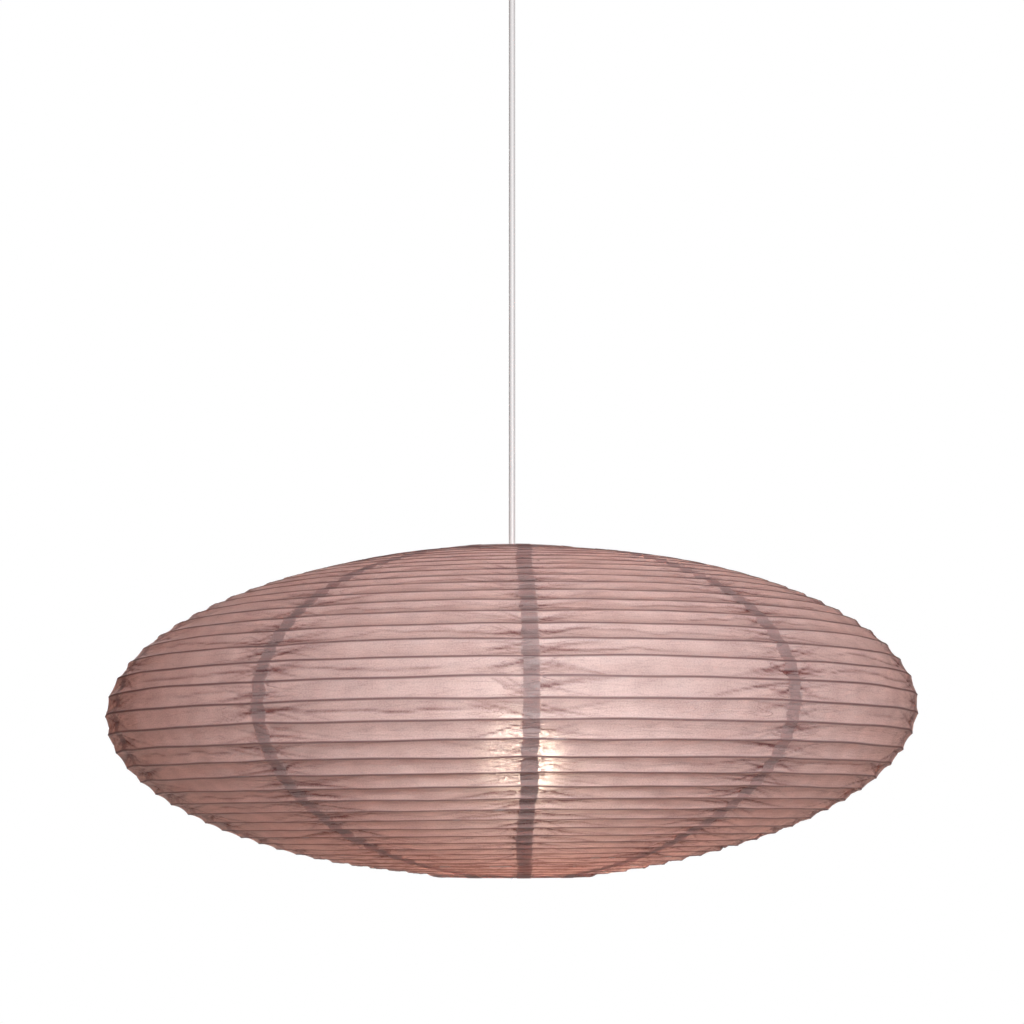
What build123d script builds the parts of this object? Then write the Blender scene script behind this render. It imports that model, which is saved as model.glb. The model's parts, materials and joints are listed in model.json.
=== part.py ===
from build123d import *
import math
import os

os.makedirs("parts", exist_ok=True)

# A pendant paper lantern: a squashed globe of paper gores on one spiral wire, held open by
# a wire expander that a lampholder carries on a cord from a ceiling rose.
# Millimetres, +Z up. The origin is on the ceiling, above the middle of the lamp.

# ------------------------------------------------------------------ driving dimensions
lantern_radius = 400.0  # over the paper at its widest
lantern_half_height = 162.5  # of the whole ellipse that the paper follows, middle to pole
paper_thickness = 0.5  # paper with its glue line and overlaps
rim_radius = 76.0  # centreline of the top and bottom wire rings
rim_wire = 1.2  # radius of their wire
drop = 812.0  # from the ceiling down to the middle of the lantern

gore_count = 10
first_seam = -87.6  # degrees about Z from +X
gore_gap = 0.1  # degrees left between neighbours

spiral_wire = 0.5  # radius of the wire
spiral_sides = 6  # the wire's section is drawn with flats, because it is 65 m long
spiral_pitch = 18.8  # from turn to turn along the paper
spiral_start = 366.7  # along the paper from its widest line up to the first turn
spiral_half_turns = 78

frame_wire = 1.25  # radius of the expander's wire
upright_y = 69.5  # the uprights stand this far from the axis
foot_reach = 80.0  # their turned-out feet end this far from the axis
foot_bend = 4.0

cord_radius = 3.2
core_radius = 1.1
core_spacing = 3.4
flex_gap = 0.35  # between the cord's rounded end and the cord inside the grip

rose_radius = 50.0
rose_height = 42.0
rose_wall = 2.0
bracket_length = 84.0
bracket_width = 16.0
bracket_thickness = 1.6
bracket_holes = 50.0  # from screw hole to screw hole
screw_hole = 2.3
grip_length = 25.0  # of the tapered sleeve that the cord leaves

thread_radius = 19.8  # outside thread of the lampholder
bulb_radius = 30.0
bulb_middle = -42.0  # of the bulb's round part, from the middle of the lantern
sliding_gap = 0.2  # between pieces that turn on each other
fit_gap = 0.05  # between pieces that are fastened together

middle = -drop
rose_outlet = -rose_height - grip_length  # where the cord leaves the ceiling rose
holder_outlet = middle + 96.0  # where it enters the lampholder


def finish(piece, name):
    piece.part.label = name
    export_step(piece.part, f"parts/{name}.step")


def turned(name, outline, height=0.0):
    """A piece turned about the axis, from (radius, height) points; a third number rounds a corner."""
    with BuildPart() as piece:
        with BuildSketch(Plane.XZ) as section:
            with BuildLine():
                Polyline(*[(point[0], point[1] + height) for point in outline], close=True)
            make_face()
            for r, z, *rounding in outline:
                if rounding:
                    corner = section.vertices().sort_by_distance((r, z + height))[0]
                    fillet(corner, rounding[0])
        revolve(axis=Axis.Z)
    finish(piece, name)


def rod(name, radius, low, high, places=((0, 0),)):
    """One or more upright round rods between two heights."""
    with BuildPart() as piece:
        with BuildSketch(Plane.XY.offset(low)):
            with Locations(*places):
                Circle(radius)
        extrude(amount=high - low)
    finish(piece, name)


def rim_angle(half_width, radius):
    """Ellipse angle, in degrees, at which the paper reaches a radius near the axis."""
    return math.degrees(math.acos(radius / half_width))


# ------------------------------------------------------------------ paper gores
# Ten equal strips of a shell of revolution, from the top ring to the bottom ring.
paper_edge = rim_radius + rim_wire + 0.4
inner_radius = lantern_radius - paper_thickness
inner_half_height = lantern_half_height - paper_thickness
outer_angle = rim_angle(lantern_radius, paper_edge)
inner_angle = rim_angle(inner_radius, paper_edge)
gore_angle = 360.0 / gore_count

for number in range(gore_count):
    centre = math.radians(first_seam + (number + 0.5) * gore_angle)
    across = (math.cos(centre), math.sin(centre), 0)
    normal = (math.sin(centre), -math.cos(centre), 0)
    with BuildPart() as gore:
        with BuildSketch(Plane(origin=(0, 0, middle), x_dir=across, z_dir=normal)) as profile:
            with BuildLine():
                outer = EllipticalCenterArc(
                    (0, 0), lantern_radius, lantern_half_height, -outer_angle,
                    arc_size=2 * outer_angle,
                )
                inner = EllipticalCenterArc(
                    (0, 0), inner_radius, inner_half_height, -inner_angle,
                    arc_size=2 * inner_angle,
                )
                Line(outer @ 0, inner @ 0)
                Line(outer @ 1, inner @ 1)
            make_face()
        # half to each side of the gore's centre line, where the strip keeps an edge
        for way in (Axis.Z, Axis.Z.reverse()):
            revolve(profile.sketch, axis=way, revolution_arc=(gore_angle - gore_gap) / 2, clean=False)
    finish(gore, f"paper_gore_{number + 1:02d}")

# ------------------------------------------------------------------ wire rings
ring_height = lantern_half_height * math.sin(math.radians(outer_angle))
for name, height in (("top_ring", ring_height), ("bottom_ring", -ring_height)):
    with BuildPart() as ring:
        with Locations((0, 0, middle + height)):
            Torus(rim_radius, rim_wire)
    finish(ring, name)

# ------------------------------------------------------------------ spiral wire
# One wire from top to bottom, just inside the paper. Each half turn is half a circle that
# leans a little, so that it ends one half pitch lower, and the next one carries on from it.
section_area = math.pi * spiral_wire**2
section_corner = math.sqrt(
    2 * section_area / (spiral_sides * math.sin(2 * math.pi / spiral_sides))
)
wire_inset = paper_thickness + section_corner + 0.3
with BuildLine(mode=Mode.PRIVATE):
    meridian = EllipticalCenterArc(
        (0, 0), lantern_radius - wire_inset, lantern_half_height - wire_inset, 0,
        arc_size=90,
    )


def on_meridian(along):
    """(radius, height) of the spiral at a distance along the paper above the widest line."""
    place = meridian.position_at(abs(along) / meridian.length)
    return place.X, math.copysign(place.Y, along)


stations = []
for step in range(spiral_half_turns + 1):
    reach, height = on_meridian(spiral_start - step * spiral_pitch / 2)
    side = 1 if step % 2 == 0 else -1
    stations.append(Vector(side * reach, 0, middle + height))

with BuildPart() as spiral:
    with BuildLine() as route:
        for step in range(spiral_half_turns):
            first, last = stations[step], stations[step + 1]
            outward = Vector(0, 1 if step % 2 == 0 else -1, 0) * ((last - first).length / 2)
            ThreePointArc(first, (first + last) / 2 + outward, last)
    with BuildSketch(Plane(origin=stations[0], x_dir=(1, 0, 0), z_dir=(0, 1, 0))):
        RegularPolygon(section_corner, spiral_sides)
    sweep(path=route.wires()[0])
finish(spiral, "spiral_wire")
spiral_length = sum(e.length for e in route.edges())
print(f"spiral wire {spiral_length:.0f} long, volume {spiral.part.volume:.0f},"
      f" section x length {math.pi * spiral_wire**2 * spiral_length:.0f}")

# ------------------------------------------------------------------ wire expander
# Two uprights, each with a foot under each ring, a cross bar from each to the holder ring.
top_foot = middle + ring_height - rim_wire - frame_wire - fit_gap
bottom_foot = middle - ring_height - rim_wire - frame_wire - sliding_gap
holder_ring_bore = thread_radius + 0.6
holder_ring_radius = 27.0
holder_ring_thickness = 1.6
flange_height = middle + 23.2  # underside of the lampholder's flange
holder_ring_low = flange_height - sliding_gap - holder_ring_thickness

for name, side in (("front", -1), ("back", 1)):
    with BuildPart() as upright:
        with BuildLine():
            FilletPolyline(
                (0, side * foot_reach, top_foot),
                (0, side * upright_y, top_foot),
                (0, side * upright_y, bottom_foot),
                (0, side * foot_reach, bottom_foot),
                radius=foot_bend,
            )
        foot_end = Plane(origin=(0, side * foot_reach, top_foot), z_dir=(0, -side, 0))
        with BuildSketch(foot_end):
            Circle(frame_wire)
        sweep()
    finish(upright, f"expander_upright_{name}")

    bar_start = holder_ring_radius + fit_gap
    bar_end = upright_y - frame_wire - fit_gap
    bar_height = holder_ring_low + holder_ring_thickness / 2
    bar_plane = Plane(origin=(0, side * bar_start, bar_height), z_dir=(0, side, 0))
    with BuildPart() as bar:
        with BuildSketch(bar_plane):
            Circle(frame_wire)
        extrude(amount=bar_end - bar_start)
    finish(bar, f"expander_cross_bar_{name}")

with BuildPart() as holder_ring:
    with BuildSketch(Plane.XY.offset(holder_ring_low)):
        Circle(holder_ring_radius)
        Circle(holder_ring_bore, mode=Mode.SUBTRACT)
    extrude(amount=holder_ring_thickness)
finish(holder_ring, "expander_holder_ring")

# ------------------------------------------------------------------ lampholder
# Heights of this group are from the middle of the lantern.
skirt_bore = 17.2
ledge_bore = 15.5
turned(
    "holder_skirt",
    [
        (skirt_bore, 3.0), (thread_radius, 3.0, 0.8), (thread_radius, 23.2), (23.2, 23.2),
        (23.2, 26.0, 1.2), (20.6, 26.0), (20.6, 46.0, 0.4), (skirt_bore, 46.0),
        (skirt_bore, 37.4), (ledge_bore, 37.4), (ledge_bore, 35.6), (skirt_bore, 34.0),
    ],
    middle,
)
turned(
    "holder_contact_block",
    [(0, 37.45), (17.0, 37.45), (17.0, 44.0), (13.0, 50.0), (0, 50.0)],
    middle,
)
turned(
    "holder_screw_shell",
    [(13.45, 9.0), (13.95, 9.0), (13.95, 37.4), (13.45, 37.4)],
    middle,
)
rod("holder_centre_contact", 2.5, middle + 36.1, middle + 37.45)
rod("holder_terminal_screws", 1.6, middle + 50.0, middle + 52.5, ((9, 0), (-9, 0)))
turned(
    "holder_cap",
    [
        (18.4, 46.05), (20.6, 46.05), (20.6, 54.0, 12.0), (18.6, 62.0, 12.0), (14.0, 68.5, 8.0),
        (8.5, 71.0, 1.5), (8.5, 73.0, 0.8), (5.1, 73.0), (5.1, 69.0), (7.2, 68.8),
        (12.6, 66.4, 6.0), (16.6, 60.8, 10.0), (18.4, 53.6, 10.0),
    ],
    middle,
)
turned(
    "holder_cord_grip",
    [
        (cord_radius + fit_gap, 68.9), (5.05, 68.9), (5.05, 73.05), (7.0, 73.05),
        (7.0, 76.0, 1.5), (4.9, 96.0, 0.6), (cord_radius + 0.4, 96.0), (cord_radius + fit_gap, 91.0),
    ],
    middle,
)
cord_end_top = holder_outlet - cord_radius - flex_gap
core_places = ((core_spacing / 2, 0), (-core_spacing / 2, 0))
rod("cord_end", cord_radius, middle + 58.0, cord_end_top)
rod("holder_cores", core_radius, middle + 50.0, middle + 58.0, core_places)

# The ring that screws up under the expander, with grip flutes round it.
with BuildPart() as shade_ring:
    with BuildSketch(Plane.XY.offset(middle + 8.5)):
        Circle(28.0)
        Circle(thread_radius + sliding_gap, mode=Mode.SUBTRACT)
        with PolarLocations(28.6, 24):
            Circle(1.6, mode=Mode.SUBTRACT)
    extrude(amount=holder_ring_low - sliding_gap - middle - 8.5)
finish(shade_ring, "shade_ring")

# ------------------------------------------------------------------ bulb
glass_wall = 0.8
cap_low = 8.0
neck_radius = 13.0
shoulder = 40.0  # degrees above its widest line at which the round part ends
flare = (bulb_radius * math.cos(math.radians(shoulder)) - neck_radius) / (
    1 - math.cos(math.radians(shoulder))
)
neck_height = bulb_middle + (bulb_radius + flare) * math.sin(math.radians(shoulder))


def glass_outline(inset):
    """Half the bulb's outline: a round end, then a hollow curve up to the neck."""
    neck = neck_radius - inset
    CenterArc((0, bulb_middle), bulb_radius - inset, -90, 90 + shoulder)
    CenterArc((neck_radius + flare, neck_height), flare + inset, 180 + shoulder, -shoulder)
    Line((neck, neck_height), (neck, cap_low))


with BuildPart() as glass:
    with BuildSketch(Plane(origin=(0, 0, middle), x_dir=(1, 0, 0), z_dir=(0, -1, 0))):
        with BuildLine():
            glass_outline(0)
            glass_outline(glass_wall)
            Line((0, bulb_middle - bulb_radius), (0, bulb_middle - bulb_radius + glass_wall))
            Line((neck_radius, cap_low), (neck_radius - glass_wall, cap_low))
        make_face()
    revolve(axis=Axis.Z)
finish(glass, "bulb_glass")

turned(
    "bulb_screw_cap",
    [
        (12.5, cap_low + fit_gap), (13.1, cap_low + fit_gap), (13.1, 29.5), (9.6, 32.2),
        (9.0, 31.6), (12.5, 29.2),
    ],
    middle,
)
turned(
    "bulb_insulator",
    [(4.8, 32.0), (8.9, 31.7), (9.5, 32.35), (6.5, 34.6), (4.8, 34.6)],
    middle,
)
rod("bulb_tip_contact", 4.7, middle + 32.6, middle + 35.8)
rod("bulb_light_board", 11.4, middle + 4.0, middle + 5.2)
rod("bulb_driver", 8.6, middle + 5.25, middle + 28.0)

# ------------------------------------------------------------------ cord
# The hanging length is round-ended at both flexing points, so that it can lean there.
with BuildPart() as cord:
    with BuildSketch(Plane.XZ):
        with BuildLine():
            CenterArc((0, rose_outlet), cord_radius, 0, 90)
            Line((cord_radius, rose_outlet), (cord_radius, holder_outlet))
            CenterArc((0, holder_outlet), cord_radius, -90, 90)
            Line((0, holder_outlet - cord_radius), (0, rose_outlet + cord_radius))
        make_face()
    revolve(axis=Axis.Z)
finish(cord, "cord")
print(f"cord {rose_outlet - holder_outlet:.0f} long between its flexing points,"
      f" volume {cord.part.volume:.0f}")

# ------------------------------------------------------------------ ceiling rose
tab_height = 12.0
tab_screw_height = -8.0
tab_hole = 1.7
half_bracket = bracket_length / 2
with BuildPart() as bracket:
    with BuildSketch(Plane.XY.offset(-bracket_thickness)):
        Rectangle(bracket_length, bracket_width)
        with Locations((-bracket_holes / 2, 0), (bracket_holes / 2, 0)):
            Circle(screw_hole, mode=Mode.SUBTRACT)
    extrude(amount=bracket_thickness)
    for side in (-1, 1):
        tab_middle = side * (half_bracket - bracket_thickness / 2)
        with Locations((tab_middle, 0, -bracket_thickness - tab_height / 2)):
            Box(bracket_thickness, bracket_width, tab_height)
        with Locations(Location((tab_middle, 0, tab_screw_height), (0, 90, 0))):
            Cylinder(tab_hole, 2 * bracket_thickness, mode=Mode.SUBTRACT)
finish(bracket, "ceiling_bracket")

floor_hole = 5.2
cup_rounding = 9.0  # of the cup's wall where it turns in, inside and out
with BuildPart() as cup:
    with BuildSketch(Plane.XZ) as cup_section:
        with BuildLine():
            Polyline(
                (rose_radius, 0), (rose_radius, -22.0), (34.0, -rose_height + 3.5),
                (22.0, -rose_height), (floor_hole, -rose_height),
                (floor_hole, -rose_height + rose_wall), (21.4, -rose_height + rose_wall),
                (33.0, -rose_height + 5.4), (rose_radius - rose_wall, -20.9),
                (rose_radius - rose_wall, 0), close=True,
            )
        make_face()
        turns_in = [v for v in cup_section.vertices() if v.Y < -20 and v.X > 2 * floor_hole]
        fillet(turns_in, cup_rounding)
    revolve(axis=Axis.Z)
    with Locations(Location((0, 0, tab_screw_height), (0, 90, 0))):
        Cylinder(tab_hole, 3 * rose_radius, mode=Mode.SUBTRACT)
finish(cup, "rose_cup")

# Two side screws hold the cup to the bracket's tabs.
with BuildPart() as cup_screws:
    for side in (-1, 1):
        head = Plane(origin=(side * rose_radius, 0, tab_screw_height), z_dir=(side, 0, 0))
        with BuildSketch(head.offset(fit_gap)):
            Circle(3.0)
        extrude(amount=2.0)
        with BuildSketch(head.offset(fit_gap)):
            Circle(tab_hole - 0.1)
        extrude(amount=-(rose_radius - half_bracket + bracket_thickness + 3.0))
finish(cup_screws, "rose_side_screws")

turned(
    "rose_cord_grip",
    [
        (cord_radius + fit_gap, -34.0), (5.0, -34.0), (5.0, -rose_height - fit_gap),
        (8.5, -rose_height - fit_gap), (8.0, -rose_height - 3.5, 1.5), (4.9, rose_outlet, 0.6),
        (cord_radius + 0.4, rose_outlet), (cord_radius + fit_gap, rose_outlet + 5.0),
    ],
)
with BuildPart() as grip_nut:
    with BuildSketch(Plane.XY.offset(-rose_height + rose_wall + fit_gap)):
        RegularPolygon(9.0, 6)
        Circle(5.05, mode=Mode.SUBTRACT)
    extrude(amount=4.0)
finish(grip_nut, "rose_grip_nut")

block_low = -15.5
cord_tail_top = -24.0
with BuildPart() as terminal_block:
    with BuildSketch(Plane.XY.offset(block_low)):
        RectangleRounded(22.0, 14.0, 2.0)
    extrude(amount=-block_low - bracket_thickness - fit_gap)
    with BuildSketch(Plane.XZ.offset(7.0)):
        with Locations((-5.5, -8.5), (5.5, -8.5)):
            Circle(2.2)
    extrude(amount=-4.0, mode=Mode.SUBTRACT)
finish(terminal_block, "rose_terminal_block")
with BuildPart() as terminal_screws:
    with BuildSketch(Plane.XZ.offset(6.5)):
        with Locations((-5.5, -8.5), (5.5, -8.5)):
            Circle(1.8)
    extrude(amount=-3.4)
finish(terminal_screws, "rose_terminal_screws")

cord_tail_low = rose_outlet + cord_radius + flex_gap
rod("cord_tail", cord_radius, cord_tail_low, cord_tail_top)
rod("rose_cores", core_radius, cord_tail_top, block_low, core_places)
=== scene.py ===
import json
import math
import bpy
import numpy as np
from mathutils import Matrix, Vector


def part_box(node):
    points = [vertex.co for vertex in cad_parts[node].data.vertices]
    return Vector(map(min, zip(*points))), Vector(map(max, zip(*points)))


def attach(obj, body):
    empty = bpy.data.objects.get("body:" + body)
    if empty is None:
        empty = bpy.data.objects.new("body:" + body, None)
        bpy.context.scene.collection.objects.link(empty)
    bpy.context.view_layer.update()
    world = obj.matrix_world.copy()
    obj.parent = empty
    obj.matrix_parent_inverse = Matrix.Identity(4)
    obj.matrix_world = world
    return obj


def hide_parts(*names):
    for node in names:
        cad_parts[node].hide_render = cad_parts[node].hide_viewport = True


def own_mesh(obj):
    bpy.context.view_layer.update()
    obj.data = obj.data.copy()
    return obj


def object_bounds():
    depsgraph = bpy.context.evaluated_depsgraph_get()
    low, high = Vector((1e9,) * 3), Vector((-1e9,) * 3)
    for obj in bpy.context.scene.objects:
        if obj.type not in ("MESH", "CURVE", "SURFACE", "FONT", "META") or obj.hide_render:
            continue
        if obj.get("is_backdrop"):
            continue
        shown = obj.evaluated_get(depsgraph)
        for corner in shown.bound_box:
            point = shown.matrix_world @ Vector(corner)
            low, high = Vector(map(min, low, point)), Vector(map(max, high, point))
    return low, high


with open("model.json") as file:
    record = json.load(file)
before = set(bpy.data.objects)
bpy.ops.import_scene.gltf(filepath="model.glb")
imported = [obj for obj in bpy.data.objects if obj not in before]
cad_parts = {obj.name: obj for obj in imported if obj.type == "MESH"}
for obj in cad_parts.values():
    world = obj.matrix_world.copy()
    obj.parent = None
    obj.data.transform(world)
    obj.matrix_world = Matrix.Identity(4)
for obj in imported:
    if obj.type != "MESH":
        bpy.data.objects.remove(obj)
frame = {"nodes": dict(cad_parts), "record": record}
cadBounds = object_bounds()


def boxOf(*nodes):  # lowest and highest corners of several CAD nodes taken together, in metres
    boxes = [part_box(name) for name in nodes]
    low = np.min([np.array(box[0], float) for box in boxes], axis=0)
    high = np.max([np.array(box[1], float) for box in boxes], axis=0)
    return low, high


# The shade's main sizes, read from the CAD nodes.
goreNodes = sorted(name for name in frame["nodes"] if name.startswith("paper_gore"))
shadeLow, shadeHigh = boxOf(*goreNodes)
ringLow, ringHigh = boxOf("top_ring")
shadeMiddle = (shadeLow[2] + shadeHigh[2]) / 2
shadeRadius = (shadeHigh[0] - shadeLow[0]) / 2
ringWire = (ringHigh[2] - ringLow[2]) / 2
ringRadius = ringHigh[0] - ringWire
ringHeight = (ringLow[2] + ringHigh[2]) / 2 - shadeMiddle
hemRadius = ringWire + 0.0004  # of the paper wrapped round the ring's wire
mouthRadius = ringRadius + hemRadius


def linear(hexColour):  # sRGB hex to linear light, with an alpha of 1
    parts = [int(hexColour[i:i + 2], 16) / 255 for i in (1, 3, 5)]
    return (*[p / 12.92 if p <= 0.04045 else ((p + 0.055) / 1.055) ** 2.4 for p in parts], 1.0)


def addNode(tree, kind, inputs=None, **settings):  # one node, its settings, then its values and links
    made = tree.nodes.new(kind)
    for name, value in settings.items():
        setattr(made, name, value)
    for name, value in (inputs or {}).items():
        if isinstance(value, bpy.types.NodeSocket):
            tree.links.new(value, made.inputs[name])
        else:
            made.inputs[name].default_value = value
    return made


def newMaterial(name):
    material = bpy.data.materials.new(name)
    material.use_nodes = True
    material.node_tree.nodes.clear()
    return material, material.node_tree


# Camera: a little below the lantern's waist, looking slightly up.
viewpoint = dict(back=2.52, below=0.112, pitch=7.10, lens=88.8)


def makeCamera():
    data = bpy.data.cameras.new("camera")
    data.lens = viewpoint["lens"]
    data.clip_end = 60
    camera = bpy.data.objects.new("camera", data)
    camera.location = (0, -viewpoint["back"], shadeMiddle - viewpoint["below"])
    camera.rotation_euler = (math.radians(90 + viewpoint["pitch"]), 0, 0)
    bpy.context.collection.objects.link(camera)
    bpy.context.scene.camera = camera
    bpy.context.view_layer.update()


makeCamera()
print("camera placed")


# The lead: round white PVC, hanging straight from the rose's grip to the lampholder's.
lead = dict(diameter=0.0064, length=0.649, colour="#d2d2d3", drawMarks="#c4c4c6")
leadRoute = [(0, 0, -0.067), (0, 0, -0.23), (0, 0, -0.39), (0, 0, -0.55), (0, 0, -0.716)]


def extrudedPvc():
    # soft PVC sheath, extruded: matt white with a low sheen and long faint draw marks down its length
    material, tree = newMaterial("extrudedWhitePvc")
    place = addNode(tree, "ShaderNodeTexCoord").outputs["Object"]
    stretched = addNode(tree, "ShaderNodeMapping", {"Vector": place, "Scale": (900, 900, 14)})
    marks = addNode(tree, "ShaderNodeTexNoise", {"Vector": stretched.outputs[0], "Scale": 1.0, "Detail": 3})
    white = addNode(tree, "ShaderNodeMix", {0: marks.outputs[0], 6: linear(lead["drawMarks"]),
                                            7: linear(lead["colour"])}, data_type="RGBA")
    bump = addNode(tree, "ShaderNodeBump",
                   {"Height": marks.outputs[0], "Strength": 0.25, "Distance": 0.0002})
    skin = addNode(tree, "ShaderNodeBsdfPrincipled",
                   {"Base Color": white.outputs[2], "Roughness": 0.42, "IOR": 1.53,
                     "Normal": bump.outputs[0]})
    addNode(tree, "ShaderNodeOutputMaterial", {"Surface": skin.outputs[0]})
    return material


def makeLead(material):
    curve = bpy.data.curves.new("hanging_lead", "CURVE")
    curve.dimensions = "3D"
    curve.bevel_depth = lead["diameter"] / 2
    curve.bevel_resolution = 6
    curve.resolution_u = 12
    curve.use_fill_caps = True
    spline = curve.splines.new("NURBS")
    spline.points.add(len(leadRoute) - 1)
    for point, place in zip(spline.points, leadRoute):
        point.co = (*place, 1)
    spline.order_u = 3
    spline.use_endpoint_u = True
    curve.materials.append(material)
    cord = bpy.data.objects.new("hanging_lead", curve)
    bpy.context.collection.objects.link(cord)
    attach(cord, "lead")
    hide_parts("cord")


pvcSkin = extrudedPvc()
makeLead(pvcSkin)
print("lead hung")


# The shade: ten gores of dyed paper glued over one spiral of wire.
shade = dict(
    roundness=1.95,  # power of the outline; 2 would be a plain ellipse
    ribStart=0.3667,  # first rib above the waist, measured along the paper
    ribPitch=0.0188,
    ribTurns=39,
    lean=0.78,  # degrees that the shade hangs out of level, right side up
    ribWaver=0.00035,
    seamPull=0.0012,  # how far a seam draws the ribs towards the waist
    pullReach=0.022,  # how far from the seam that is felt
)
gore = dict(
    count=10,
    firstSeam=-87.6,  # degrees about the drop, from +X
    seamWidth=0.0145,
    seamDrift=0.0075,  # how far the seams wander sideways near the two rings
    layerLift=0.0003,  # the lapped layer above the one under it
    edgeWaver=0.0011,  # how far a cut edge wanders between two ribs
    hollow=0.0023,  # how far the paper sinks between two ribs
    foldDepth=0.0011,
    foldWidth=0.0011,
    foldsPerPanel=6,  # from each seam
    pucker=0.00045,  # height of the small wrinkles beside a seam
    puckerReach=0.012,
    unevenness=0.00025,
    columns=(9, 84, 9),  # lapped seam, open paper, lapped seam
    rowsPerPanel=12,
    hem=0.0065,  # paper turned in round the wire ring
)

# Half the outline's height at the drop, so that the outline passes through both rings.
mouthShare = (mouthRadius / shadeRadius) ** shade["roundness"]
halfHeight = ringHeight / (1 - mouthShare) ** (1 / shade["roundness"])


def smoothStep(value, low, high):
    part = np.clip((value - low) / (high - low), 0, 1)
    return part * part * (3 - 2 * part)


outlineSteps = 3000  # from the waist to the pole


def outlineTable():
    # superellipse: (r / radius)^n + (z / half height)^n = 1, walked from the lowest point to the highest.
    # Returns the distance along it above the waist, r, z, and the outward normal in r and z.
    turn = np.linspace(-math.pi / 2, math.pi / 2, 2 * outlineSteps + 1)
    power = 2 / shade["roundness"]
    r = shadeRadius * np.cos(turn).clip(0) ** power
    z = halfHeight * np.sign(np.sin(turn)) * np.abs(np.sin(turn)) ** power
    along = np.concatenate([[0], np.cumsum(np.hypot(np.diff(r), np.diff(z)))])
    along -= along[outlineSteps]
    slopeR, slopeZ = np.gradient(r, along), np.gradient(z, along)
    size = np.hypot(slopeR, slopeZ)
    return along, r, z, slopeZ / size, -slopeR / size


outline = outlineTable()
upperHalf = outline[0] > 0
paperEdge = float(np.interp(-mouthRadius, -outline[1][upperHalf], outline[0][upperHalf]))


def onOutline(along):  # r, z and the normal's two parts at each distance along the paper
    return [np.interp(along, outline[0], column) for column in outline[1:]]


latticeSize = (101, 97)  # after so many units the noise repeats


def softNoise(x, y, seed):  # random heights on a unit lattice, eased between its corners, from -1 to 1
    wide, high = latticeSize
    lattice = np.random.default_rng(seed).uniform(-1, 1, latticeSize)
    column, row = np.floor(x).astype(int), np.floor(y).astype(int)
    u, v = x - column, y - row
    u, v = u * u * (3 - 2 * u), v * v * (3 - 2 * v)
    corner = lambda i, j: lattice[(column + i) % wide, (row + j) % high]
    lower = corner(0, 0) * (1 - u) + corner(1, 0) * u
    upper = corner(0, 1) * (1 - u) + corner(1, 1) * u
    return lower * (1 - v) + upper * v


def seamDrift(along):  # how far sideways a seam has wandered at each distance along the paper
    return gore["seamDrift"] * smoothStep(np.abs(along), 0.18, 0.37)


def ribAlong(turns):
    # distance along the paper of the spiral after so many turns: an even pitch, a waver of three
    # sine waves, and a dip towards the waist at each seam
    even = shade["ribStart"] - shade["ribPitch"] * turns
    waver = np.sin(46.3 * turns + 0.6) + 0.7 * np.sin(86.1 * turns + 2.1) + 0.5 * np.sin(147 * turns)
    waver = shade["ribWaver"] * waver * smoothStep(paperEdge - np.abs(even), 0.0, 0.03)
    step = 360 / gore["count"]
    sideways = np.degrees(seamDrift(even) / onOutline(even)[0])
    fromSeam = (turns * 360 - gore["firstSeam"] - sideways + step / 2) % step - step / 2
    reach = np.radians(fromSeam) * onOutline(even)[0]
    pull = shade["seamPull"] * np.exp(-(reach / shade["pullReach"]) ** 2) * np.clip(even / 0.06, -1, 1)
    return even + waver - pull


def leaned(points):  # the shade hangs slightly out of level, less and less towards its two rings
    reach = np.hypot(points[..., 0], points[..., 1])
    points[..., 2] += math.tan(math.radians(shade["lean"])) * points[..., 0] * smoothStep(reach, 0.09, 0.2)
    return points


def gridObject(name, points, cut, attributes, material):
    # a surface from a grid of points: one quad between each four neighbours, faces pointing outwards
    rows, columns = points.shape[:2]
    number = np.arange(rows * columns).reshape(rows, columns)
    quads = np.stack([number[:-1, :-1], number[1:, :-1], number[1:, 1:], number[:-1, 1:]], axis=-1)
    quads = quads.reshape(-1, 4)
    mesh = bpy.data.meshes.new(name)
    mesh.vertices.add(rows * columns)
    mesh.vertices.foreach_set("co", points.astype(np.float32).ravel())
    mesh.loops.add(quads.size)
    mesh.loops.foreach_set("vertex_index", quads.astype(np.int32).ravel())
    mesh.polygons.add(len(quads))
    mesh.polygons.foreach_set("loop_start", np.arange(0, quads.size, 4, dtype=np.int32))
    mesh.polygons.foreach_set("use_smooth", np.ones(len(quads), dtype=bool))
    mesh.update(calc_edges=True)
    uv = mesh.uv_layers.new(name="cut")
    uv.data.foreach_set("uv", cut.reshape(-1, 2)[quads.ravel()].astype(np.float32).ravel())
    for label, values in attributes.items():
        layer = mesh.attributes.new(label, "FLOAT", "POINT")
        layer.data.foreach_set("value", values.astype(np.float32).ravel())
    mesh.materials.append(material)
    made = bpy.data.objects.new(name, mesh)
    bpy.context.collection.objects.link(made)
    return made


def folds(fromSeam, across, height, panel, seed):
    # creases that leave a seam between two ribs, each on a curve v = start + (end - start) * travel^bend,
    # fading out as it reaches one of them; the sum of their soft ridges
    count = int(panel.max()) + 1
    rng = np.random.default_rng(seed)
    total = np.zeros_like(fromSeam)
    for _ in range(gore["foldsPerPanel"]):
        start = rng.uniform(0.14, 0.86, count)[panel]
        end = np.where(rng.random(count) < 0.5, -0.1, 1.1)[panel]
        reach = rng.uniform(0.018, 0.10, count)[panel]
        bend = rng.uniform(0.55, 1.6, count)[panel]
        strength = rng.uniform(0.15, 1.0, count)[panel]
        travel = np.clip(fromSeam / reach, 0, 1)
        away = (across - start - (end - start) * travel ** bend) * height / gore["foldWidth"]
        total += strength * (1 - travel) ** 0.6 * np.exp(-away ** 2)
    return total


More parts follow.
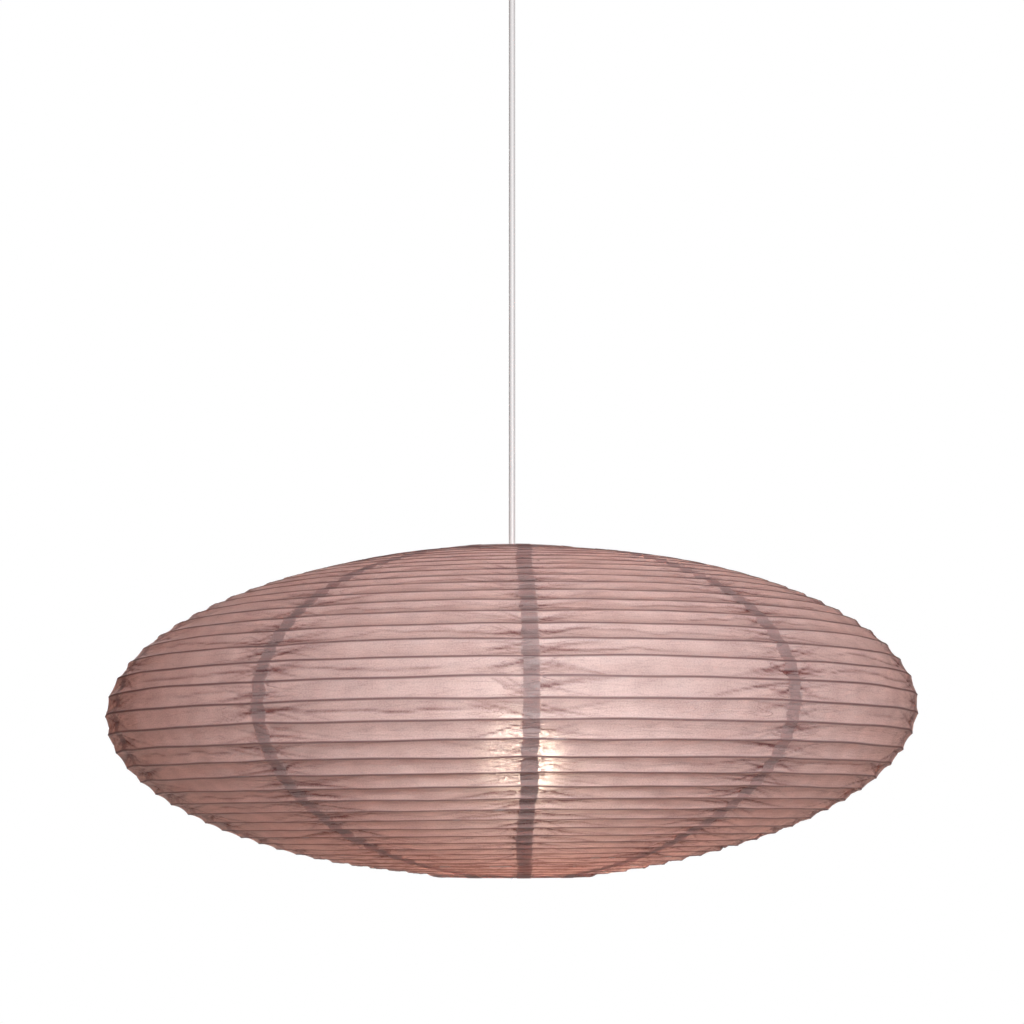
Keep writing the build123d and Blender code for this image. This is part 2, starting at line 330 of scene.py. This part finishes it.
def goreRows(centre):
    # panels between neighbouring ribs, each cut finer towards its ribs, so that a row lies on every rib:
    # the panel that each row is in, its share of the way across it, and its distance along the paper
    perPanel, panels = gore["rowsPerPanel"], shade["ribTurns"] + 1
    even = np.arange(perPanel) / perPanel
    share = even - 0.4 * np.sin(2 * math.pi * even) / (2 * math.pi)
    panel = np.append(np.repeat(np.arange(panels), perPanel), panels - 1)
    across = np.append(np.tile(share, panels), 1.0)
    firstRib = shade["ribStart"] - shade["ribPitch"] * centre / 360
    lastRib = firstRib - shade["ribPitch"] * (panels - 2)
    along = np.interp(np.arange(len(panel)) / perPanel, [0, 1, panels - 1, panels],
                      [paperEdge, firstRib, lastRib, -paperEdge])
    return panel, across, along


def goreColumns(index, across, rowAlong, rowRadius):
    # sideways distance of each point from the gore's middle, over the left lap, the open paper and the
    # right lap, between two cut edges that wander; and half the width of the open paper
    left = softNoise(rowAlong / 0.011, rowAlong * 0 + index, 5) + 0.6 * np.cos(2 * math.pi * across)
    right = softNoise(rowAlong / 0.011, rowAlong * 0 + index, 6) - 0.5 * np.cos(2 * math.pi * across)
    half, lap = math.pi / gore["count"] * rowRadius, gore["seamWidth"] / 2
    stops = np.stack([-half - lap + gore["edgeWaver"] * left, -half + lap,
                      half - lap, half + lap + gore["edgeWaver"] * right])
    leftLap, middle, rightLap = gore["columns"]
    even = np.arange(1, middle) / middle
    knots = np.concatenate([np.arange(leftLap + 1) / leftLap,
                            1 + even - 0.55 * np.sin(2 * math.pi * even) / (2 * math.pi),
                            2 + np.arange(rightLap + 1) / rightLap])
    whole = np.clip(np.floor(knots).astype(int), 0, 2)
    sideways = stops[whole] + (knots - whole)[:, None] * (stops[whole + 1] - stops[whole])
    return sideways.T, (half - lap)[:, None]


def paperRelief(index, turns, panel, across, along, height, sideways, fromLeft, fromRight):
    # how far the paper stands off the smooth outline: hollow between the ribs, folds and puckers from the
    # seams, slow unevenness, the lapped layer, and the swell over each wire ring; and how creased it is
    slack = 1 + 0.35 * softNoise(turns * 70, panel * 1.0, 11)
    slack += 0.25 * softNoise(turns * 190, panel * 1.0, 12)
    atEnds = np.where((panel == 0) | (panel == shade["ribTurns"]), 0.25, 1.0)
    bow = np.abs(np.sin(math.pi * across))
    hollow = gore["hollow"] * slack * bow ** 0.85 * atEnds
    lowerMore = 0.75 + 0.5 * smoothStep(-along, -0.05, 0.2)
    crease = folds(fromLeft, across, height, panel, 100 + index)
    crease += folds(fromRight, across, height, panel, 200 + index)
    wave = 0.5 + 0.22 * softNoise(turns * 31, panel * 1.0, 21)
    wave += 0.1 * softNoise(turns * 97, panel * 1.0, 22)
    longFold = np.exp(-((across - wave) * height / gore["foldWidth"]) ** 2)
    longFold *= smoothStep(softNoise(turns * 13, panel * 1.0, 23), 0.0, 0.6)
    crease = (crease * lowerMore + 0.8 * longFold) * bow ** 0.4
    nearLeft = np.exp(-np.clip(fromLeft, 0, None) / gore["puckerReach"])
    nearRight = np.exp(-np.clip(fromRight, 0, None) / gore["puckerReach"])
    pucker = softNoise(along / 0.0032, sideways / 0.011, 31)
    pucker += 0.6 * softNoise(along / 0.0021, sideways / 0.006, 32)
    pucker *= np.clip(nearLeft + nearRight, 0, 1) * lowerMore * bow ** 0.5
    uneven = gore["unevenness"] * softNoise(sideways / 0.035, along / 0.02, 40 + index) * bow
    layer = gore["layerLift"] * smoothStep(-fromLeft, -0.0015, 0.0005)
    overRing = hemRadius * smoothStep(np.abs(along), paperEdge - 0.007, paperEdge - 0.001)
    relief = uneven - hollow - gore["foldDepth"] * crease + gore["pucker"] * pucker + layer + overRing
    return relief, layer, np.clip(crease, 0, 1.2)


def hemProfile():
    # round the ring's wire and back under the paper: r and z from the middle of the wire, distance walked
    turnIn = np.radians(np.linspace(100, 262, 9))
    flap = np.linspace(0, 1, 4)[1:]
    r = np.concatenate([hemRadius * np.cos(turnIn), flap * gore["hem"]])
    z = np.concatenate([hemRadius * np.sin(turnIn), -hemRadius - 0.09 * flap * gore["hem"]])
    return r, z, np.cumsum(np.hypot(np.diff(r, prepend=0), np.diff(z, prepend=hemRadius)))


def makeGore(index, node, material):
    # a grid of rows down the gore and columns across it, bent round the drop and onto the outline
    centre = (gore["firstSeam"] + 360 / gore["count"] * (index + 0.5)) % 360
    panel, across, rowAlong = goreRows(centre)
    rowRadius = onOutline(rowAlong)[0]
    sideways, openHalf = goreColumns(index, across, rowAlong, rowRadius)
    azimuth = math.radians(centre) + (sideways + seamDrift(rowAlong)[:, None]) / rowRadius[:, None]
    # each point's distance along the paper lies between the two ribs on either side of it
    turns = azimuth / (2 * math.pi)
    panel, across = panel[:, None] + 0 * azimuth.astype(int), across[:, None] + 0 * azimuth
    above = np.where(panel == 0, paperEdge, ribAlong(turns + panel - 1))
    below = np.where(panel == shade["ribTurns"], -paperEdge, ribAlong(turns + panel))
    along, height = above + (below - above) * across, above - below
    fromLeft, fromRight = sideways + openHalf, openHalf - sideways
    relief, layer, crease = paperRelief(index, turns, panel, across, along, height,
                                        sideways, fromLeft, fromRight)
    r, z, normalR, normalZ = onOutline(along)
    r, z = r + relief * normalR, z + relief * normalZ
    # distance from the nearest rib, kept up at the gore's two ends, where there is none
    noRib = 0.003
    fromRib = np.minimum(across, 1 - across) * height + np.where(panel == 0, noRib * (1 - across), 0)
    fromRib += np.where(panel == shade["ribTurns"], noRib * across, 0)
    intoSeam = np.maximum(-fromLeft, -fromRight)
    # a hem at each end
    hemR, hemZ, hemPath = hemProfile()
    lifted = 1 + layer[0] / hemRadius
    topR, topZ = ringRadius + hemR[::-1, None] * lifted, ringHeight + hemZ[::-1, None] * lifted
    bottomR, bottomZ = ringRadius + hemR[:, None] * lifted, -ringHeight - hemZ[:, None] * lifted
    extended = lambda values: np.concatenate([np.repeat(values[:1], len(hemR), axis=0), values,
                                              np.repeat(values[-1:], len(hemR), axis=0)])
    r, z = np.concatenate([topR, r, bottomR]), np.concatenate([topZ, z, bottomZ])
    along = np.concatenate([paperEdge + hemPath[::-1, None] + 0 * topR, along,
                            -paperEdge - hemPath[:, None] + 0 * topR])
    azimuth, sideways = extended(azimuth), extended(sideways)
    points = np.stack([r * np.cos(azimuth), r * np.sin(azimuth), shadeMiddle + z], axis=-1)
    cut = np.stack([sideways, along], axis=-1)
    attributes = dict(fromRib=extended(fromRib), intoSeam=extended(intoSeam), crease=extended(crease))
    piece = gridObject(f"gore_{index + 1:02d}", leaned(points), cut, attributes, material)
    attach(piece, "shade")
    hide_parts(node)
    return piece, cut


paperLook = dict(
    dye="#e0d6d5",  # by light from outside
    stainedAndShaded="#7a4b4e",  # the same where stains and glue darken it, with painted shade in creases and lapped seams and the wire's painted shadow along each rib
    fibre="#ddc8c3",
    lit="#d08a7a",  # by light scattered through the sheet
    # the lit colour where stains darken it, with painted shade in creases and the wire's painted shadow
    # along each rib
    litStainedAndShaded="#6f4038",
    straight="#f4eae7",  # by light that keeps near its own direction
    # the straight colour, darkened the same way by stains, painted shade and painted shadow
    straightStainedAndShaded="#7b5650",
    slipped="#fff6ee",  # by light through the pores between the fibres
    # how far glue and the wire's painted shadow darken the paper along a rib
    ribGlueAndShadow=0.85,
    # painted shade of the second layer in a lapped seam
    seamPaintedShade=0.55,
    # how dark the painted shade in the creases goes
    creasePaintedShade=0.75,
    ribHalfWidth=(0.0005, 0.0018),  # where the glue stain and the wire's painted shadow along a rib start to fade, and where they end
    translucence=0.48,
    forward=0.06,  # share of the light let through that keeps near its own direction
    spread=0.9,  # roughness of that forward light, and of the light through the pores
    glitter=0.036,  # largest share that slips through a pore
)


def dyedMulberryPaper():
    # handmade mulberry paper, dyed dusty rose: faintly cloudy, with a soft wide sheen and pale fibres lying
    # every way, darker along the wire from glue and a painted shadow of the wire, with painted shade in its
    # creases and lapped seams, and thin enough that the lamp glows and glitters between its fibres
    material, tree = newMaterial("dyedMulberryPaper")
    flat = addNode(tree, "ShaderNodeUVMap", uv_map="cut").outputs[0]
    fromRib = addNode(tree, "ShaderNodeAttribute", attribute_name="fromRib").outputs["Fac"]
    intoSeam = addNode(tree, "ShaderNodeAttribute", attribute_name="intoSeam").outputs["Fac"]
    folded = addNode(tree, "ShaderNodeAttribute", attribute_name="crease").outputs["Fac"]
    # clouds about 30 mm across, fibre clumps of 1.4 mm and pores of 2.4 mm, both coarser than real to show
    clouds = addNode(tree, "ShaderNodeTexNoise", {"Vector": flat, "Scale": 34, "Detail": 3}).outputs[0]
    grain = addNode(tree, "ShaderNodeTexNoise", {"Vector": flat, "Scale": 700, "Detail": 3}).outputs[0]
    speck = addNode(tree, "ShaderNodeTexNoise",
                    {"Vector": flat, "Scale": 420, "Detail": 3, "Distortion": 0.4}).outputs[0]
    # fibres: thin bands where a warped noise passes through its middle value, drawn about 0.5 mm wide
    curls = addNode(tree, "ShaderNodeTexNoise",
                    {"Vector": flat, "Scale": 70, "Detail": 2, "Distortion": 1.4}).outputs[0]
    offMiddle = addNode(tree, "ShaderNodeMath", {0: curls, 1: 0.5}, operation="SUBTRACT").outputs[0]
    offMiddle = addNode(tree, "ShaderNodeMath", {0: offMiddle}, operation="ABSOLUTE").outputs[0]
    fibre = addNode(tree, "ShaderNodeMapRange", {"Value": offMiddle, "From Max": 0.010,
                                                 "To Min": 0.3, "To Max": 0.0}).outputs[0]
    # wrinkles: soft bands about 77 mm long and 5 mm high that run across the gore, and sharper lines some
    # 110 mm long and 13 mm apart, strongest beside the seams
    bands = addNode(tree, "ShaderNodeMapping", {"Vector": flat, "Scale": (13, 190, 1)}).outputs[0]
    wrinkle = addNode(tree, "ShaderNodeTexNoise",
                      {"Vector": bands, "Scale": 1.0, "Detail": 3, "Distortion": 0.9}).outputs[0]
    lines = addNode(tree, "ShaderNodeMapping", {"Vector": flat, "Scale": (9, 75, 1)}).outputs[0]
    ridge = addNode(tree, "ShaderNodeTexNoise",
                    {"Vector": lines, "Scale": 1.0, "Detail": 2, "Distortion": 1.6}).outputs[0]
    ridge = addNode(tree, "ShaderNodeMath", {0: ridge, 1: 0.5}, operation="SUBTRACT").outputs[0]
    ridge = addNode(tree, "ShaderNodeMath", {0: ridge}, operation="ABSOLUTE").outputs[0]
    ridge = addNode(tree, "ShaderNodeMapRange", {"Value": ridge, "From Max": 0.022,
                                                 "To Min": 1.0, "To Max": 0.0}).outputs[0]
    nearSeam = addNode(tree, "ShaderNodeMapRange", {"Value": intoSeam, "From Min": -0.05, "From Max": 0.0,
                                                    "To Min": 0.25, "To Max": 1.0}).outputs[0]
    ridge = addNode(tree, "ShaderNodeMath", {0: ridge, 1: nearSeam}, operation="MULTIPLY").outputs[0]
    fineCrease = addNode(tree, "ShaderNodeMath", {0: ridge, 1: 0.6}, operation="MULTIPLY").outputs[0]
    crease = addNode(tree, "ShaderNodeMath", {0: folded, 1: fineCrease}, operation="MAXIMUM").outputs[0]
    # stain and painted shade: random clouds and clumps, painted shade in the creases, then glue stain and
    # the wire's painted shadow along the ribs, then painted shade of the second layer in a seam
    cloudy = addNode(tree, "ShaderNodeMapRange", {"Value": clouds, "From Min": 0.35, "From Max": 0.7,
                                                  "To Max": 0.22}).outputs[0]
    clumped = addNode(tree, "ShaderNodeMapRange", {"Value": grain, "From Min": 0.42, "From Max": 0.72,
                                                   "To Max": 0.2}).outputs[0]
    stainAndShade = addNode(tree, "ShaderNodeMath", {0: cloudy, 1: clumped}, operation="ADD").outputs[0]
    # painted shade in the creases
    stainAndShade = addNode(tree, "ShaderNodeMath", {0: crease, 1: paperLook["creasePaintedShade"], 2: stainAndShade},
                    operation="MULTIPLY_ADD").outputs[0]
    ribNear, ribFar = paperLook["ribHalfWidth"]
    # glue stain and a painted shadow of the wire along each rib
    glueAndWireShadow = addNode(tree, "ShaderNodeMapRange", {"Value": fromRib, "From Min": ribNear, "From Max": ribFar,
                                                 "To Min": paperLook["ribGlueAndShadow"], "To Max": 0.0}).outputs[0]
    stainAndShade = addNode(tree, "ShaderNodeMath", {0: stainAndShade, 1: glueAndWireShadow}, operation="MAXIMUM").outputs[0]
    # painted shade where a second layer of paper laps over
    lappedShade = addNode(tree, "ShaderNodeMapRange",
                     {"Value": intoSeam, "From Min": -0.0001, "From Max": 0.0002,
                      "To Max": paperLook["seamPaintedShade"]}).outputs[0]
    stainAndShadeWithSeams = addNode(tree, "ShaderNodeMath", {0: stainAndShade, 1: lappedShade}, operation="MAXIMUM").outputs[0]
    surface = addNode(tree, "ShaderNodeMix", {0: stainAndShadeWithSeams, 6: linear(paperLook["dye"]),
                                              7: linear(paperLook["stainedAndShaded"])}, data_type="RGBA").outputs[2]
    surface = addNode(tree, "ShaderNodeMix", {0: fibre, 6: surface, 7: linear(paperLook["fibre"])},
                      data_type="RGBA").outputs[2]
    # light through the sheet, darkened by the same stains, painted crease shade and painted wire shadow
    glow = addNode(tree, "ShaderNodeMix", {0: stainAndShade, 6: linear(paperLook["lit"]),
                                           7: linear(paperLook["litStainedAndShaded"])}, data_type="RGBA").outputs[2]
    straight = addNode(tree, "ShaderNodeMix", {0: stainAndShade, 6: linear(paperLook["straight"]),
                                               7: linear(paperLook["straightStainedAndShaded"])},
                       data_type="RGBA").outputs[2]
    height = addNode(tree, "ShaderNodeMath", {0: grain, 1: 0.3, 2: wrinkle},
                     operation="MULTIPLY_ADD").outputs[0]
    height = addNode(tree, "ShaderNodeMath", {0: ridge, 1: -0.5, 2: height},
                     operation="MULTIPLY_ADD").outputs[0]
    bump = addNode(tree, "ShaderNodeBump",
                   {"Height": height, "Strength": 0.8, "Distance": 0.0009}).outputs[0]
    # light back from the sheet, light through it, and light that slips through its pores
    front = addNode(tree, "ShaderNodeBsdfPrincipled",
                    {"Base Color": surface, "Roughness": 0.55, "IOR": 1.5, "Specular IOR Level": 1.0,
                     "Normal": bump})
    through = addNode(tree, "ShaderNodeBsdfTranslucent", {"Color": glow, "Normal": bump})
    onward = addNode(tree, "ShaderNodeBsdfRefraction",
                     {"Color": straight, "Roughness": paperLook["spread"], "IOR": 1.4, "Normal": bump})
    letThrough = addNode(tree, "ShaderNodeMixShader",
                         {0: paperLook["forward"], 1: through.outputs[0], 2: onward.outputs[0]})
    paper = addNode(tree, "ShaderNodeMixShader",
                    {0: paperLook["translucence"], 1: front.outputs[0], 2: letThrough.outputs[0]})
    pores = addNode(tree, "ShaderNodeMapRange", {"Value": speck, "From Min": 0.45, "From Max": 0.60,
                                                 "To Max": paperLook["glitter"]}).outputs[0]
    clearOfRib = addNode(tree, "ShaderNodeMapRange", {"Value": fromRib, "From Min": ribNear,
                                                      "From Max": ribFar}).outputs[0]
    pores = addNode(tree, "ShaderNodeMath", {0: pores, 1: clearOfRib}, operation="MULTIPLY").outputs[0]
    slipped = addNode(tree, "ShaderNodeBsdfRefraction",
                      {"Color": linear(paperLook["slipped"]), "Roughness": paperLook["spread"], "IOR": 1.04})
    sheet = addNode(tree, "ShaderNodeMixShader", {0: pores, 1: paper.outputs[0], 2: slipped.outputs[0]})
    addNode(tree, "ShaderNodeOutputMaterial", {"Surface": sheet.outputs[0]})
    return material


def makeShade():
    material = dyedMulberryPaper()
    for index, node in enumerate(goreNodes):
        piece, cut = makeGore(index, node, material)
        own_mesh(piece)
    print("paper hung:", len(goreNodes), "gores")


spiral = dict(wire=0.0005, sides=6, stepsPerTurn=400, underPaper=0.00015)


def tubeObject(name, centre, radius, sides, material):
    # a round tube: at each point of the path a ring of corners, square to the path, and a cap at each end
    along = np.gradient(centre, axis=0)
    along /= np.linalg.norm(along, axis=1)[:, None]
    side = np.cross(along, (0, 0, 1))
    side /= np.linalg.norm(side, axis=1)[:, None]
    up = np.cross(side, along)
    turn = np.arange(sides) * 2 * math.pi / sides
    ring = np.cos(turn)[None, :, None] * side[:, None] + np.sin(turn)[None, :, None] * up[:, None]
    points = (centre[:, None] + radius * ring).reshape(-1, 3)
    number = np.arange(len(points)).reshape(-1, sides)
    following = np.roll(number, -1, axis=1)
    quads = np.stack([number[:-1], number[1:], following[1:], following[:-1]], axis=-1).reshape(-1, 4)
    caps = [number[0].tolist(), number[-1][::-1].tolist()]
    mesh = bpy.data.meshes.new(name)
    mesh.from_pydata(points.tolist(), [], quads.tolist() + caps)
    mesh.polygons.foreach_set("use_smooth", np.ones(len(mesh.polygons), dtype=bool))
    mesh.materials.append(material)
    made = bpy.data.objects.new(name, mesh)
    bpy.context.collection.objects.link(made)
    return made


def makeSpiral(material):
    # the wire lies just inside the paper's ridges, turning evenly as it goes down
    turns = np.linspace(0, shade["ribTurns"], shade["ribTurns"] * spiral["stepsPerTurn"] + 1)
    r, z, normalR, normalZ = onOutline(ribAlong(turns))
    inside = spiral["wire"] + spiral["underPaper"]
    r, z = r - inside * normalR, z - inside * normalZ
    azimuth = turns * 2 * math.pi
    centre = np.stack([r * np.cos(azimuth), r * np.sin(azimuth), shadeMiddle + z], axis=-1)
    piece = tubeObject("spiral_rib", leaned(centre), spiral["wire"], spiral["sides"], material)
    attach(piece, "shade")
    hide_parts("spiral_wire")
    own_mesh(piece)
    print("spiral rib wound")


# Finishes of the CAD nodes.
def moulded(name, colour, tint, roughness, ior, pitting, clear=0.0):
    # injection moulded plastic: even colour, soft gloss, and the faint spark-eroded grain of the mould,
    # 0.6 mm across, which is coarser than real, to show
    material, tree = newMaterial(name)
    place = addNode(tree, "ShaderNodeTexCoord").outputs["Object"]
    grain = addNode(tree, "ShaderNodeTexNoise", {"Vector": place, "Scale": 1600.0, "Detail": 2})
    cloud = addNode(tree, "ShaderNodeTexNoise", {"Vector": place, "Scale": 45.0, "Detail": 2})
    mixed = addNode(tree, "ShaderNodeMix", {0: cloud.outputs[0], 6: linear(colour), 7: linear(tint)},
                    data_type="RGBA")
    bump = addNode(tree, "ShaderNodeBump",
                   {"Height": grain.outputs[0], "Strength": pitting, "Distance": 0.0001})
    skin = addNode(tree, "ShaderNodeBsdfPrincipled",
                   {"Base Color": mixed.outputs[2], "Roughness": roughness, "IOR": ior,
                    "Coat Weight": clear, "Normal": bump.outputs[0]})
    addNode(tree, "ShaderNodeOutputMaterial", {"Surface": skin.outputs[0]})
    return material


def metal(name, colour, tint, roughness, marks, spread, strength):
    # bare or plated metal: its own colour, roughness broken by fine turning or draw marks. The marks are
    # given as so many to a metre along x, y and z, and are coarser than real, to show
    material, tree = newMaterial(name)
    place = addNode(tree, "ShaderNodeTexCoord").outputs["Object"]
    stretched = addNode(tree, "ShaderNodeMapping", {"Vector": place, "Scale": marks})
    scratch = addNode(tree, "ShaderNodeTexNoise",
                      {"Vector": stretched.outputs[0], "Scale": 1.0, "Detail": 3})
    mixed = addNode(tree, "ShaderNodeMix", {0: scratch.outputs[0], 6: linear(colour), 7: linear(tint)},
                    data_type="RGBA")
    rough = addNode(tree, "ShaderNodeMapRange",
                    {"Value": scratch.outputs[0], "From Min": 0.3, "From Max": 0.7,
                     "To Min": roughness - spread, "To Max": roughness + spread})
    bump = addNode(tree, "ShaderNodeBump",
                   {"Height": scratch.outputs[0], "Strength": strength, "Distance": 0.0001})
    skin = addNode(tree, "ShaderNodeBsdfPrincipled",
                   {"Base Color": mixed.outputs[2], "Metallic": 1.0, "Roughness": rough.outputs[0],
                    "Normal": bump.outputs[0]})
    addNode(tree, "ShaderNodeOutputMaterial", {"Surface": skin.outputs[0]})
    return material


bulb = dict(
    glass="#f6efe6",
    haze="#fdf9f3",
    glow="#fff0dd",
    strength=25.0,
    power=4.0,  # of the lamp's light on everything round it
    offMiddle=0.012,  # the brightest part of the globe lies a little to the right
    clearance=0.0015,  # the light's own radius past the glass
)


def opalBulb():
    # opal-coated glass over a lit lamp: an even warm glow under a smooth clear gloss
    material, tree = newMaterial("opalGlassLit")
    place = addNode(tree, "ShaderNodeTexCoord").outputs["Object"]
    haze = addNode(tree, "ShaderNodeTexNoise", {"Vector": place, "Scale": 60.0, "Detail": 2})
    milk = addNode(tree, "ShaderNodeMix", {0: haze.outputs[0], 6: linear(bulb["glass"]),
                                           7: linear(bulb["haze"])}, data_type="RGBA")
    skin = addNode(tree, "ShaderNodeBsdfPrincipled",
                   {"Base Color": milk.outputs[2], "Roughness": 0.25, "IOR": 1.52,
                    "Emission Color": linear(bulb["glow"]), "Emission Strength": bulb["strength"]})
    addNode(tree, "ShaderNodeOutputMaterial", {"Surface": skin.outputs[0]})
    return material


springSteel = metal("drawnSpringSteel", "#8f9092", "#b6b7b9", 0.34, (700, 700, 700), 0.08, 0.2)
finishes = {
    "spring_wire": springSteel,
    "ring_wire": metal("galvanisedRingWire", "#9a9c9e", "#c3c5c6", 0.42, (260, 260, 260), 0.12, 0.3),
    "zinc_steel": metal("zincPlatedPressedSteel", "#b4b8bc", "#d2d5d8", 0.36, (120, 120, 120), 0.10, 0.2),
    "white_plastic": moulded("mouldedWhiteThermoset", "#eeece6", "#f5f4f0", 0.34, 1.49, 0.12, 0.1),
    "white_lead": pvcSkin,
    "core_brown": moulded("extrudedBrownPvc", "#5b3a24", "#6b4630", 0.45, 1.53, 0.1),
    "ceramic": moulded("pressedSteatite", "#e4ddcf", "#efe9dd", 0.5, 1.58, 0.5),
    "brass": metal("turnedBrass", "#b58d4a", "#cda866", 0.28, (90, 90, 1400), 0.08, 0.25),
    "nickel": metal("nickelPlatedBrass", "#b9b5ab", "#d3d0c8", 0.24, (140, 140, 1500), 0.06, 0.2),
    "opal_glass": opalBulb(),
    "black_glass": moulded("pressedBlackGlass", "#15151a", "#1f1f26", 0.12, 1.52, 0.05, 0.6),
    "board": moulded("solderMaskedBoard", "#dfe3de", "#eef0ec", 0.4, 1.5, 0.2),
}


def finishNodes():
    slots = {part["node"]: part["material_slot"] for part in frame["record"]["subparts"]}
    for name, made in frame["nodes"].items():
        finish = finishes.get(slots.get(name), springSteel)
        for place in made.material_slots:
            place.material = finish
        if not made.material_slots:
            made.data.materials.append(finish)


makeShade()
makeSpiral(springSteel)
print("finishes:", sorted(finishes))


# Light, floor and backdrop.
studio = dict(
    sky=0.16,  # strength of the light from all round; the camera sees plain white
    walls="#ffdcd0",  # its colour
    key=dict(place=(0.6, -2.9, -0.25), size=1.3, watts=106.0),
    behind=dict(place=(-0.7, 2.9, 0.1), size=1.6, watts=24.0),
    wash=dict(place=(0, 0, -1.5), size=20.0, watts=800.0),  # falls on the floor only
    floor="#e9e6e1",
    floorReach=7.0,
    floorHeight=-2.4,
)


def areaLight(name):  # a white disk that faces the shade
    chosen = studio[name]
    data = bpy.data.lights.new(name, "AREA")
    data.shape = "DISK"
    data.size = chosen["size"]
    data.energy = chosen["watts"]
    light = bpy.data.objects.new(name, data)
    light.location = chosen["place"]
    light.visible_camera = False
    toward = np.array((0, 0, shadeMiddle)) - np.array(chosen["place"])
    yaw, level = math.atan2(toward[1], toward[0]), math.hypot(toward[0], toward[1])
    light.rotation_euler = (math.atan2(level, -toward[2]), 0, yaw - math.pi / 2)
    bpy.context.collection.objects.link(light)
    return light


def makeStudio():
    world = bpy.data.worlds.new("studio")
    world.use_nodes = True
    tree = world.node_tree
    tree.nodes.clear()
    seen = addNode(tree, "ShaderNodeLightPath").outputs["Is Camera Ray"]
    strength = addNode(tree, "ShaderNodeMapRange", {"Value": seen, "To Min": studio["sky"], "To Max": 1.0})
    tint = addNode(tree, "ShaderNodeMix", {0: seen, 6: linear(studio["walls"]), 7: (1, 1, 1, 1)},
                   data_type="RGBA")
    sky = addNode(tree, "ShaderNodeBackground", {"Color": tint.outputs[2], "Strength": strength.outputs[0]})
    addNode(tree, "ShaderNodeOutputWorld", {"Surface": sky.outputs[0]})
    bpy.context.scene.world = world
    bpy.context.scene.view_settings.view_transform = "Standard"
    areaLight("key")
    areaLight("behind")
    wash = areaLight("wash")
    wash.rotation_euler = (0, 0, 0)  # straight down
    print("studio lit")


def makeLamp():
    low, high = boxOf("bulb_glass")
    radius = (high[0] - low[0]) / 2
    data = bpy.data.lights.new("lamp", "POINT")
    data.shadow_soft_size = radius + bulb["clearance"]
    data.energy = bulb["power"]
    data.color = linear(bulb["glow"])[:3]
    lamp = bpy.data.objects.new("lamp", data)
    lamp.location = (bulb["offMiddle"], 0, low[2] + radius)
    lamp.visible_camera = False
    bpy.context.collection.objects.link(lamp)
    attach(lamp, "bulb")
    print("lamp on")


def makeFloor():  # plain and pale, and open to a look from below
    mesh = bpy.data.meshes.new("floor")
    reach, ground = studio["floorReach"], studio["floorHeight"]
    mesh.from_pydata([(-reach, -reach, ground), (reach, -reach, ground), (reach, reach, ground),
                      (-reach, reach, ground)], [], [(0, 1, 2, 3)])
    floor = bpy.data.objects.new("floor", mesh)
    bpy.context.collection.objects.link(floor)
    material, tree = newMaterial("paleFloor")
    skin = addNode(tree, "ShaderNodeBsdfPrincipled",
                   {"Base Color": linear(studio["floor"]), "Roughness": 0.8})
    fromBelow = addNode(tree, "ShaderNodeNewGeometry").outputs["Backfacing"]
    clear = addNode(tree, "ShaderNodeBsdfTransparent")
    both = addNode(tree, "ShaderNodeMixShader", {0: fromBelow, 1: skin.outputs[0], 2: clear.outputs[0]})
    addNode(tree, "ShaderNodeOutputMaterial", {"Surface": both.outputs[0]})
    mesh.materials.append(material)
    floor.visible_diffuse = False  # or it would light the shade from below
    floor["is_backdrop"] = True
    print("floor laid")


finishNodes()
makeStudio()
makeLamp()
makeFloor()

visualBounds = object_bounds()
({"cad": [list(map(float, corner)) for corner in cadBounds],
           "visual": [list(map(float, corner)) for corner in visualBounds]})
